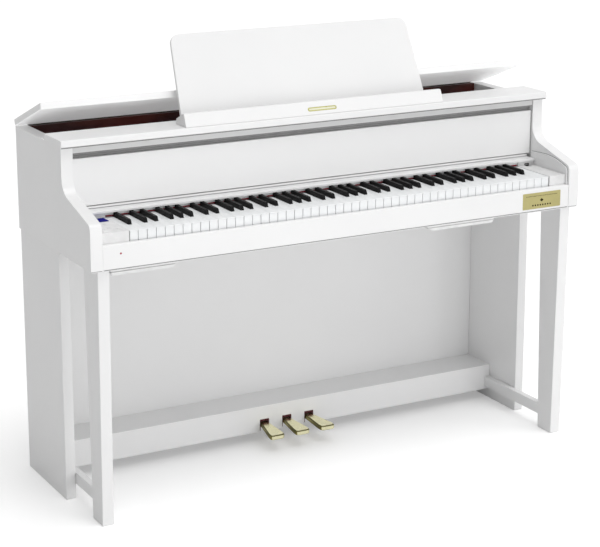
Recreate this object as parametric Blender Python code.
"""Upright digital piano with a sliding key cover, an opening top lid and a leaning music desk.

Metres. X runs along the keyboard to the player's right, Y from the player to the back, Z up.
The origin is on the floor, under the middle of the case.
"""

import math

import bmesh
import bpy
from mathutils import Matrix, Vector

# Driving dimensions
WIDTH = 1.434          # over the lid and the top board
DEPTH = 0.489          # over the arms
HEIGHT = 0.946         # with the lid closed
GAP = 0.0003           # between touching pieces

FRONT = -DEPTH / 2
BACK = DEPTH / 2
ARM_X = 0.712          # outer face of an arm
ARM_THICK = 0.031
INNER_X = ARM_X - ARM_THICK
CASE_X = INNER_X - GAP
ARM_BOTTOM = 0.658
ARM_TOP = 0.9275
ARM_FRONT = -0.0695    # front edge of the tall rear part of an arm
TOP_FRONT = -0.083
TOP_REAR = 0.0295      # where the fixed top board ends and the lid starts

KEYBED_BOTTOM = 0.654
KEYBED_TOP = 0.676
PANEL_X = (0.681, 0.708)
PANEL_FRONT = -0.0228
LEG_X = (0.662, 0.692)
LEG_TOP_Y = (-0.235, -0.146)
LEG_FOOT_Y = (-0.224, -0.163)
RAIL_Z = (0.039, 0.070)

KEYS_LEFT = -0.605     # left edge of the lowest key
KEYS_WIDTH = 1.230
WHITE_COUNT = 52
WHITE_PITCH = KEYS_WIDTH / WHITE_COUNT
WHITE_FRONT = -0.229
WHITE_TOP = 0.744
WHITE_BOTTOM = 0.712   # below the slip, so that no gap shows under the key fronts
BLACK_FRONT = -0.1735
NOTCH_FRONT = -0.1750  # where the white keys widen in front of the black ones
BLACK_TOP = 0.7555
BLACK_HALF = 0.0052
KEY_GAP = 0.001
KEY_REAR = 0.025
KEYS_VISIBLE_REAR = -0.0795
BANK_BAR_FRONT = -0.0055  # where the keys of a bank join, and the black ones end before it
BLACK_TAIL = -0.0080
WHITE_STEP = -0.0170   # behind it the white keys are cut down, to pass under the black bar
WHITE_STEP_Z = 0.738
KEY_PIVOT = Vector((0.0, 0.015, 0.718))
BLACK_SHIFT = {"C": -0.0024, "D": 0.0024, "F": -0.0030, "G": 0.0, "A": 0.0030}

SLIP_FACE = FRONT + 0.0006
SLIP_BACK = -0.2308
SLIP_TOP = 0.7185
BLOCK_TOP = 0.745
BLOCK_WALL_TOP = 0.7567  # the low wall at the back of each block
SHELF_TOP = 0.763
PANEL_Y = (-0.062, -0.050)  # the fixed panel above the keys
PANEL_Z = (0.7736, 0.8945)
FELT_Y = (-0.078, -0.066)   # the felt strip behind the keys
FELT_Z = (0.745, 0.748)
CHEEK_X = (INNER_X - 0.0035, INNER_X)

LID_PIVOT = Vector((0.0, 0.2385, 0.9302))
LID_OPEN = math.radians(20.9)
LID_BOTTOM = ARM_TOP + 0.001
TONE_TOP = LID_BOTTOM - 0.0005  # the dark board behind the chamber hides the cover at the back
REAR_TOP = 0.922

COVER_Z = (0.7653, 0.7713)
COVER_X = 0.672
COVER_FRONT = -0.0605
COVER_PIVOT = Vector((0.0, 0.032, sum(COVER_Z) / 2))
COVER_REAR = 0.164

DESK_PIVOT = Vector((0.0, -0.009, 0.953))
DESK_LEAN = math.radians(24.1)
DESK_HEIGHT = 0.2235   # along the plate, from the pivot
DESK_THICK = 0.009
LEDGE_X = 0.380

INLET_X = (0.510, 0.550)
INLET_Z = (0.150, 0.178)
INLET_FLOOR = 0.226    # bottom of its pocket in the back board

BEAM_FRONT = 0.107
BEAM_Z = (0.030, 0.103)
PEDAL_PIVOT = Vector((0.0, 0.172, 0.051))
PEDAL_PITCH = 0.070
PEDAL_TIP = 0.009
PEDAL_Z = (0.0445, 0.0575)
PEDAL_SPLAY = 0.09     # sideways per length, in front of the beam
PEDAL_DROP = math.radians(2.1)  # how far the levers dip forward at rest
SLOT_WIDTH = 0.029
SLOT_TOP = 0.065

# Finishes: base colour, roughness, metallic
WHITE_PAINT = ((0.88, 0.88, 0.88), 0.35, 0.0)
GREY_PAINT = ((0.45, 0.45, 0.46), 0.5, 0.0)
IVORY = ((0.92, 0.92, 0.90), 0.25, 0.0)
EBONY = ((0.02, 0.02, 0.02), 0.45, 0.0)
BRASS = ((0.80, 0.66, 0.33), 0.25, 1.0)
STEEL = ((0.55, 0.55, 0.56), 0.35, 1.0)
MAHOGANY = ((0.17, 0.035, 0.022), 0.4, 0.0)
RED_FELT = ((0.50, 0.03, 0.04), 0.95, 0.0)
DARK_PLASTIC = ((0.03, 0.03, 0.035), 0.4, 0.0)
RAW_WOOD = ((0.62, 0.46, 0.30), 0.6, 0.0)
BLUE_GLASS = ((0.02, 0.03, 0.16), 0.1, 0.0)


def clear_scene():
    for obj in list(bpy.data.objects):
        bpy.data.objects.remove(obj, do_unlink=True)


def object_from(name, bm, finish):
    """A new object of its own material from a bmesh."""
    bmesh.ops.recalc_face_normals(bm, faces=bm.faces)
    mesh = bpy.data.meshes.new(name)
    bm.to_mesh(mesh)
    bm.free()
    obj = bpy.data.objects.new(name, mesh)
    bpy.context.scene.collection.objects.link(obj)
    if finish:
        color, roughness, metallic = finish
        material = bpy.data.materials.new(name)
        material.use_nodes = True
        shader = material.node_tree.nodes["Principled BSDF"]
        shader.inputs["Base Color"].default_value = (*color, 1.0)
        shader.inputs["Roughness"].default_value = roughness
        shader.inputs["Metallic"].default_value = metallic
        mesh.materials.append(material)
    return obj


def prism(name, outline, axis, span, finish=None):
    """An outline in the plane across an axis, extruded over a span of it.

    Outline points are (Y, Z) for axis X, (X, Z) for axis Y and (X, Y) for axis Z.
    """
    bm = bmesh.new()

    def place(point, along):
        u, v = point[0], point[1]
        return {"X": (along, u, v), "Y": (u, along, v), "Z": (u, v, along)}[axis]

    low = [bm.verts.new(place(p, span[0])) for p in outline]
    high = [bm.verts.new(place(p, span[1])) for p in outline]
    bm.faces.new(low)
    bm.faces.new(list(reversed(high)))
    for i in range(len(outline)):
        j = (i + 1) % len(outline)
        bm.faces.new((low[i], low[j], high[j], high[i]))
    return object_from(name, bm, finish)


def box(name, x, y, z, finish=None):
    return prism(name, [(x[0], y[0]), (x[1], y[0]), (x[1], y[1]), (x[0], y[1])], "Z", z, finish)


def cylinder(name, centre, radius, axis, length, finish=None, sides=24):
    """A round bar centred on a point."""
    turn = {"X": Matrix.Rotation(math.pi / 2, 4, "Y"), "Y": Matrix.Rotation(math.pi / 2, 4, "X"),
            "Z": Matrix.Identity(4)}[axis]
    bm = bmesh.new()
    bmesh.ops.create_cone(bm, cap_ends=True, segments=sides, radius1=radius, radius2=radius, depth=length,
                          matrix=Matrix.Translation(centre) @ turn)
    return object_from(name, bm, finish)


def rounded(corners, steps=6):
    """An outline whose corners (u, v, radius) are replaced by arcs."""
    points = []
    count = len(corners)
    for i, (u, v, radius) in enumerate(corners):
        here = Vector((u, v))
        if not radius:
            points.append((u, v))
            continue
        before = (Vector(corners[i - 1][:2]) - here).normalized()
        after = (Vector(corners[(i + 1) % count][:2]) - here).normalized()
        half = before.angle(after) / 2
        centre = here + (before + after).normalized() * radius / math.sin(half)
        start = here + before * radius / math.tan(half) - centre
        end = here + after * radius / math.tan(half) - centre
        sweep = start.angle_signed(end)
        for k in range(steps + 1):
            arm = start.copy()
            arm.rotate(Matrix.Rotation(-sweep * k / steps, 2))
            points.append(tuple(centre + arm))
    return points


def boolean(target, tool, operation):
    """Joins the tool to the target, or cuts the target by it, and removes the tool."""
    modifier = target.modifiers.new("boolean", "BOOLEAN")
    modifier.operation = operation
    modifier.solver = "EXACT"
    modifier.object = tool
    graph = bpy.context.evaluated_depsgraph_get()
    mesh = bpy.data.meshes.new_from_object(target.evaluated_get(graph))
    target.modifiers.remove(modifier)
    target.data = mesh
    bpy.data.objects.remove(tool, do_unlink=True)


def set_origin(obj, point, turn_x=0.0):
    """Moves the origin to a joint's axis, and swings the object about X there."""
    obj.data.transform(Matrix.Translation(-Vector(point)))
    obj.location = point
    obj.rotation_euler = (turn_x, 0.0, 0.0)


def mirrored(side, span):
    """The span of X on the left (side -1) or the right (side +1)."""
    return tuple(sorted((side * span[0], side * span[1])))


SIDES = {"left": -1, "right": 1}


def make_sides():
    slope = math.tan(math.radians(15.5))
    slope_start = 0.8180
    slope_end = slope_start - (ARM_FRONT - FRONT) * slope
    arm = rounded([(BACK, ARM_BOTTOM, 0), (FRONT, ARM_BOTTOM, 0), (FRONT, slope_end, 0.018),
                   (ARM_FRONT, slope_start, 0.045), (ARM_FRONT, ARM_TOP, 0), (BACK, ARM_TOP, 0)], 8)
    cheek_back, cheek_front = -0.0700, -0.2365
    slip_rear = SLIP_BACK + GAP
    cheek_low, cheek_step = KEYBED_TOP + GAP, SLIP_TOP + GAP
    cheek_corners = [(cheek_back, cheek_low, 0), (slip_rear, cheek_low, 0), (slip_rear, cheek_step, 0),
                     (cheek_front, cheek_step, 0), (cheek_front, 0.7640, 0.016), (-0.1650, 0.7860, 0.250),
                     (cheek_back, 0.7800, 0)]
    panel_top = KEYBED_BOTTOM - GAP
    leg = [(LEG_TOP_Y[0], panel_top), (LEG_FOOT_Y[0], 0.0), (LEG_FOOT_Y[1], 0.0), (LEG_TOP_Y[1], panel_top)]
    leg_slope = (LEG_TOP_Y[1] - LEG_FOOT_Y[1]) / panel_top
    rail_low, rail_high = [LEG_FOOT_Y[1] + leg_slope * z + GAP for z in RAIL_Z]
    rail = [(rail_low, RAIL_Z[0]), (BEAM_FRONT - GAP, RAIL_Z[0]), (BEAM_FRONT - GAP, RAIL_Z[1]),
            (rail_high, RAIL_Z[1])]
    for name, side in SIDES.items():
        prism(f"{name}_arm", arm, "X", mirrored(side, (INNER_X, ARM_X)), WHITE_PAINT)
        prism(f"{name}_cheek", rounded(cheek_corners), "X",
              mirrored(side, (CHEEK_X[0], CHEEK_X[1] - GAP)), WHITE_PAINT)
        box(f"{name}_side_panel", mirrored(side, PANEL_X), (PANEL_FRONT, BACK), (0, panel_top), WHITE_PAINT)
        prism(f"{name}_leg", leg, "X", mirrored(side, LEG_X), WHITE_PAINT)
        prism(f"{name}_foot_rail", rail, "X", mirrored(side, (0.663, CASE_X)), WHITE_PAINT)


def make_keybed():
    """The bed, whose thin flange carries the arms and shows as a fine line under them."""
    flange_x, flange_top = 0.709, ARM_BOTTOM - GAP
    outline = [(-flange_x, KEYBED_BOTTOM), (flange_x, KEYBED_BOTTOM), (flange_x, flange_top),
               (CASE_X, flange_top), (CASE_X, KEYBED_TOP), (-CASE_X, KEYBED_TOP), (-CASE_X, flange_top),
               (-flange_x, flange_top)]
    bed = prism("keybed", outline, "Y", (-0.242, 0.242), WHITE_PAINT)
    front_rebate = box("rebate", (-0.8, 0.8), (-0.3, SLIP_BACK + GAP), (flange_top, 0.7))
    boolean(bed, front_rebate, "DIFFERENCE")


def make_back():
    width = (-CASE_X, CASE_X)
    board = box("back_board", width, (0.221, 0.235), (BEAM_Z[0], KEYBED_BOTTOM - GAP), GREY_PAINT)
    boolean(board, box("pocket", INLET_X, (INLET_FLOOR, 0.3), INLET_Z), "DIFFERENCE")
    inside = [(low + GAP, high - GAP) for low, high in (INLET_X, INLET_Z)]
    box("power_inlet", inside[0], (INLET_FLOOR + GAP, 0.239), inside[1], DARK_PLASTIC)
    box("tone_board", width, (0.221, 0.233), (KEYBED_TOP + GAP, TONE_TOP), MAHOGANY)
    box("rear_cover", width, (0.233 + GAP, BACK), (KEYBED_TOP + GAP, REAR_TOP), WHITE_PAINT)


def make_top():
    half = WIDTH / 2
    box("top_board", (-half, half), (TOP_FRONT, TOP_REAR), (ARM_TOP + GAP, HEIGHT), WHITE_PAINT)
    lid_front = TOP_REAR + 0.0005
    lid_rear = LID_PIVOT.y - 0.0027
    lid = box("top_lid", (-half, half), (lid_front, lid_rear), (LID_BOTTOM, HEIGHT), WHITE_PAINT)
    set_origin(lid, LID_PIVOT, -LID_OPEN)
    rod = cylinder("lid_hinge_rod", LID_PIVOT, 0.0022, "X", 2 * CASE_X - 0.02, STEEL, 16)
    set_origin(rod, LID_PIVOT)


def make_front():
    width = (-CASE_X, CASE_X)
    rail_top, behind_panel = ARM_TOP - GAP, PANEL_Y[1] + GAP
    rail = [(-0.066, 0.909), (-0.066, rail_top), (-0.030, rail_top), (-0.030, 0.880), (behind_panel, 0.880),
            (behind_panel, 0.909)]
    prism("upper_rail", rail, "X", width, WHITE_PAINT)
    box("front_panel", width, PANEL_Y, PANEL_Z, WHITE_PAINT)
    shelf_x = CHEEK_X[0] - GAP
    shelf = [(-0.090, 0.757), (-0.090, SHELF_TOP), (-0.040, SHELF_TOP), (-0.040, 0.757), (FELT_Y[1], 0.757),
             (FELT_Y[1], FELT_Z[1] + GAP), (FELT_Y[0], FELT_Z[1] + GAP), (FELT_Y[0], 0.757)]
    prism("cover_shelf", shelf, "X", (-shelf_x, shelf_x), WHITE_PAINT)
    box("name_felt", (KEYS_LEFT, KEYS_LEFT + KEYS_WIDTH), FELT_Y, FELT_Z, RED_FELT)
    box("key_slip", width, (SLIP_FACE, SLIP_BACK), (ARM_BOTTOM, SLIP_TOP), WHITE_PAINT)
    box("brass_plate", (0.530, 0.6535), (FRONT, SLIP_FACE - GAP / 2), (0.664, 0.708), BRASS)


def make_blocks():
    """The blocks at both ends of the keys, with the controls that sit in them."""
    front, wall, back, low = SLIP_BACK + GAP, -0.083, -0.0783, KEYBED_TOP + GAP
    outline = [(front, low), (front, BLOCK_TOP), (wall, BLOCK_TOP), (wall, BLOCK_WALL_TOP),
               (back, BLOCK_WALL_TOP), (back, low)]
    keys_right = KEYS_LEFT + KEYS_WIDTH
    outer = CHEEK_X[0] - GAP
    left = prism("left_key_block", outline, "X", (-outer, KEYS_LEFT - KEY_GAP), WHITE_PAINT)
    right = prism("right_key_block", outline, "X", (keys_right + KEY_GAP, outer), WHITE_PAINT)
    window_z = (BLOCK_TOP + GAP, BLOCK_TOP + 0.0012)
    box("display_window", (-0.650, -0.613), (-0.1240, -0.0890), window_z, BLUE_GLASS)
    port = (0.648, 0.663), (0.7415, 0.7505)
    boolean(right, box("hole", port[0], (-0.1, -0.0795), port[1]), "DIFFERENCE")
    inside = [(low + GAP, high - GAP) for low, high in port]
    box("usb_port", inside[0], (-0.0825, -0.0798), inside[1], DARK_PLASTIC)
    for name, (x, y) in {"power_button": (-0.664, -0.214), "menu_button": (-0.621, -0.199)}.items():
        hole = cylinder("hole", Vector((x, y, BLOCK_TOP)), 0.0046, "Z", 0.014)
        boolean(left, hole, "DIFFERENCE")
        centre = Vector((x, y, BLOCK_TOP - 0.0017))
        button = cylinder(name, centre, 0.0042, "Z", 0.0060, WHITE_PAINT)
        set_origin(button, centre)


def white_key_edge(index):
    """X of the left edge of the white key with this index, counted from the lowest."""
    return KEYS_LEFT + index * WHITE_PITCH


def note_of(white_index):
    return "ABCDEFG"[white_index % 7]


def black_centre(white_index):
    """X of the black key to the right of a white key, or None where there is none."""
    note = note_of(white_index)
    if note not in BLACK_SHIFT or white_index >= WHITE_COUNT - 1:
        return None
    return white_key_edge(white_index + 1) + BLACK_SHIFT[note]


def white_comb(name, first, count):
    """A bank of white keys, cut free of each other up to a bar at their pivot."""
    shoulder = NOTCH_FRONT
    slit = BLACK_HALF + KEY_GAP
    half = KEY_GAP / 2
    left_end, right_end = white_key_edge(first) + half, white_key_edge(first + count) - half
    outline = [(right_end, KEY_REAR), (left_end, KEY_REAR)]
    for i in range(first, first + count):
        left, right = white_key_edge(i) + half, white_key_edge(i + 1) - half
        black_left, black_right = (black_centre(i - 1) if i else None), black_centre(i)
        tail_left = black_left + slit if black_left else left
        tail_right = black_right - slit if black_right else right
        if i > first or black_left:
            outline.append((tail_left, BANK_BAR_FRONT if i > first else KEY_REAR))
        if i == first and black_left:
            outline.remove((left_end, KEY_REAR))
        if black_left:
            outline += [(tail_left, shoulder), (left, shoulder)]
        outline += [(left, WHITE_FRONT), (right, WHITE_FRONT)]
        if black_right:
            outline += [(right, shoulder), (tail_right, shoulder)]
        if i < first + count - 1:
            outline.append((tail_right, BANK_BAR_FRONT))
        elif black_right:
            outline.append((tail_right, KEY_REAR))
            outline.remove((right_end, KEY_REAR))
    bank = prism(name, outline, "Z", (WHITE_BOTTOM, WHITE_TOP), IVORY)
    boolean(bank, box("step", (-1, 1), (WHITE_STEP, 0.05), (WHITE_STEP_Z, 0.76)), "DIFFERENCE")
    set_origin(bank, KEY_PIVOT)


def black_comb(name, first, count):
    """A bank of black keys, joined by a bar that passes over the bar of the white ones."""
    centres = [black_centre(i) for i in range(first, first + count) if black_centre(i)]
    finger = [(BLACK_TAIL, WHITE_BOTTOM), (BLACK_FRONT, WHITE_BOTTOM), (BLACK_FRONT, WHITE_TOP),
              (BLACK_FRONT + 0.005, BLACK_TOP - 0.0015), (BLACK_FRONT + 0.008, BLACK_TOP),
              (KEYS_VISIBLE_REAR, BLACK_TOP), (KEYS_VISIBLE_REAR, WHITE_TOP), (BLACK_TAIL, WHITE_TOP)]
    bar_x = (centres[0] - BLACK_HALF - 0.001, centres[-1] + BLACK_HALF + 0.001)
    bank = box(name, bar_x, (-0.014, KEY_REAR), (0.7405, 0.7495), EBONY)
    for x in centres:
        boolean(bank, prism("finger", finger, "X", (x - BLACK_HALF, x + BLACK_HALF)), "UNION")
    set_origin(bank, KEY_PIVOT)


def make_keys():
    """Seven banks: the first also holds the two lowest white keys, the last the highest C."""
    first = 0
    for bank, count in enumerate((9, 7, 7, 7, 7, 7, 8), start=1):
        white_comb(f"white_keys_{bank}", first, count)
        black_comb(f"black_keys_{bank}", first, count)
        first += count


def make_key_frame():
    x = (KEYS_LEFT + 0.003, KEYS_LEFT + KEYS_WIDTH - 0.003)
    base = KEYBED_TOP + GAP
    frame = box("key_frame", x, (-0.222, -0.186), (base, WHITE_BOTTOM - 0.012), RAW_WOOD)
    boolean(frame, box("balance_rail", x, (0.008, 0.022), (base, WHITE_BOTTOM - 0.001)), "UNION")
    boolean(frame, box("back_rail", x, (0.040, 0.062), (base, 0.700)), "UNION")
    for stile in range(5):
        centre = x[0] + 0.02 + stile * (x[1] - x[0] - 0.04) / 4
        boolean(frame, box("stile", (centre - 0.02, centre + 0.02), (-0.200, 0.050), (base, 0.690)), "UNION")


def make_speaker(name, x):
    """A round speaker lying on the keybed, cone up: magnet, basket and rim as one turned body."""
    profile = [(0.0, 0.0), (0.035, 0.0), (0.035, 0.020), (0.022, 0.022), (0.052, 0.055), (0.060, 0.055),
               (0.060, 0.060), (0.050, 0.060), (0.020, 0.040), (0.0, 0.040)]
    centre = Vector((x, 0.130, KEYBED_TOP + GAP))
    bm = bmesh.new()
    rings = [bm.verts.new((radius, 0.0, height)) for radius, height in profile]
    edges = [bm.edges.new(pair) for pair in zip(rings, rings[1:])]
    bmesh.ops.spin(bm, geom=rings + edges, cent=(0, 0, 0), axis=(0, 0, 1), angle=2 * math.pi, steps=24,
                   use_merge=True, use_duplicate=False)
    bmesh.ops.remove_doubles(bm, verts=bm.verts, dist=1e-6)
    bmesh.ops.translate(bm, verts=bm.verts, vec=centre)
    object_from(name, bm, DARK_PLASTIC)


def make_cover():
    """The key cover: two leaves on a slide, with the front leaf hinged to dip as it comes forward."""
    clearance = 0.0022
    width = (-COVER_X, COVER_X)
    slide = bpy.data.objects.new("cover_slide", None)
    slide.location = COVER_PIVOT
    bpy.context.scene.collection.objects.link(slide)
    rear = box("cover_rear_leaf", width, (COVER_PIVOT.y + clearance, COVER_REAR), COVER_Z, WHITE_PAINT)
    front = box("cover_front_leaf", width, (COVER_FRONT, COVER_PIVOT.y - clearance), COVER_Z, WHITE_PAINT)
    rod = cylinder("cover_hinge_rod", COVER_PIVOT, 0.0019, "X", 2 * COVER_X, STEEL, 16)
    for piece in (rear, front, rod):
        set_origin(piece, COVER_PIVOT)
        piece.parent = slide
        piece.location = (0, 0, 0)


def make_under_boxes():
    """Shallow boxes with sloped ends under the keybed."""
    top, bottom, slope = KEYBED_BOTTOM - GAP, 0.645, 0.008
    for name, low, high in (("jack_box", -0.6615, -0.476), ("amplifier_box", 0.234, 0.459)):
        outline = [(low, top), (low + slope, bottom), (high - slope, bottom), (high, top)]
        prism(name, outline, "Y", (-0.225, -0.100), WHITE_PAINT)


def make_pedal_beam():
    front, low, high = BEAM_FRONT, *BEAM_Z
    outline = [(front, low), (front, high), (0.2207, high), (0.2207, 0.088), (0.126, 0.088), (0.126, low)]
    beam = prism("pedal_beam", outline, "X", (-CASE_X, CASE_X), WHITE_PAINT)
    for lug in (-0.113, 0.101):
        boolean(beam, box("lug", (lug, lug + 0.012), (0.120, 0.188), (0.038, 0.092)), "UNION")
    for i in (-1, 0, 1):
        x = i * PEDAL_PITCH
        slot = box("slot", (x - SLOT_WIDTH / 2, x + SLOT_WIDTH / 2), (0.09, 0.128), (0.0, SLOT_TOP))
        boolean(beam, slot, "DIFFERENCE")
    boolean(beam, cylinder("bore", PEDAL_PIVOT, 0.0043, "X", 0.24), "DIFFERENCE")
    cylinder("pedal_axle", PEDAL_PIVOT, 0.0040, "X", 0.224, STEEL)
    felt = box("pedal_felt", (-0.098, 0.098), (0.1263, 0.1293), (0.031, 0.076), RED_FELT)
    for i in (-1, 0, 1):
        x = i * PEDAL_PITCH
        boolean(felt, box("notch", (x - 0.0122, x + 0.0122), (0.12, 0.14), (0.0, 0.0605)), "DIFFERENCE")


def make_pedal(name, place):
    """A brass lever, narrow through the beam, that widens to a broad front; the outer two lean outward."""
    x = place * PEDAL_PITCH
    waist, front = 0.0105, 0.0188
    bend, widest = 0.104, 0.026
    plan = rounded([(waist, 0.192, 0), (waist, bend, 0), (front, widest, 0.03), (front, PEDAL_TIP, 0.0095),
                    (-front, PEDAL_TIP, 0.0095), (-front, widest, 0.03), (-waist, bend, 0),
                    (-waist, 0.192, 0)])
    shifted = [(x + u + place * PEDAL_SPLAY * max(0.0, bend - v), v) for u, v in plan]
    pedal = prism(name, shifted, "Z", PEDAL_Z, BRASS)
    boolean(pedal, cylinder("bore", PEDAL_PIVOT, 0.0043, "X", 0.3), "DIFFERENCE")
    set_origin(pedal, (x, PEDAL_PIVOT.y, PEDAL_PIVOT.z), PEDAL_DROP)


def make_music_stand():
    """The ledge on the top board, and the desk plate that leans back behind it."""
    low = HEIGHT + GAP
    trough, back = 0.957, -0.0155
    lip = [(-0.076, low), (back, low), (back, trough), (-0.059, trough), (-0.052, 0.978), (-0.062, 0.978)]
    ledge = prism("music_ledge", lip, "X", (-LEDGE_X, LEDGE_X), WHITE_PAINT)
    gusset = [(-0.075, low + 0.001), (back - 0.001, low + 0.001), (back - 0.001, 0.9600), (-0.056, 0.9775),
              (-0.0615, 0.9775)]
    for x in ((-LEDGE_X + 0.0005, -LEDGE_X + 0.005), (LEDGE_X - 0.005, LEDGE_X - 0.0005)):
        boolean(ledge, prism("gusset", gusset, "X", x), "UNION")

    foot, bottom_half, top_half = -0.0035, 0.3626, 0.3500
    corner = 0.026
    plate = rounded([(-bottom_half, foot, 0), (bottom_half, foot, 0), (top_half, DESK_HEIGHT, corner),
                     (-top_half, DESK_HEIGHT, corner)])
    face = -0.0031
    desk = prism("music_desk", plate, "Y", (face, face + DESK_THICK), WHITE_PAINT)
    desk.location = DESK_PIVOT
    desk.rotation_euler = (-DESK_LEAN, 0.0, 0.0)


def main():
    clear_scene()
    make_sides()
    make_keybed()
    make_back()
    make_top()
    make_front()
    make_blocks()
    make_keys()
    make_key_frame()
    make_speaker("left_speaker", -0.430)
    make_speaker("right_speaker", 0.430)
    make_cover()
    make_under_boxes()
    make_pedal_beam()
    for name, place in (("pedal_left", -1), ("pedal_middle", 0), ("pedal_right", 1)):
        make_pedal(name, place)
    make_music_stand()


main()
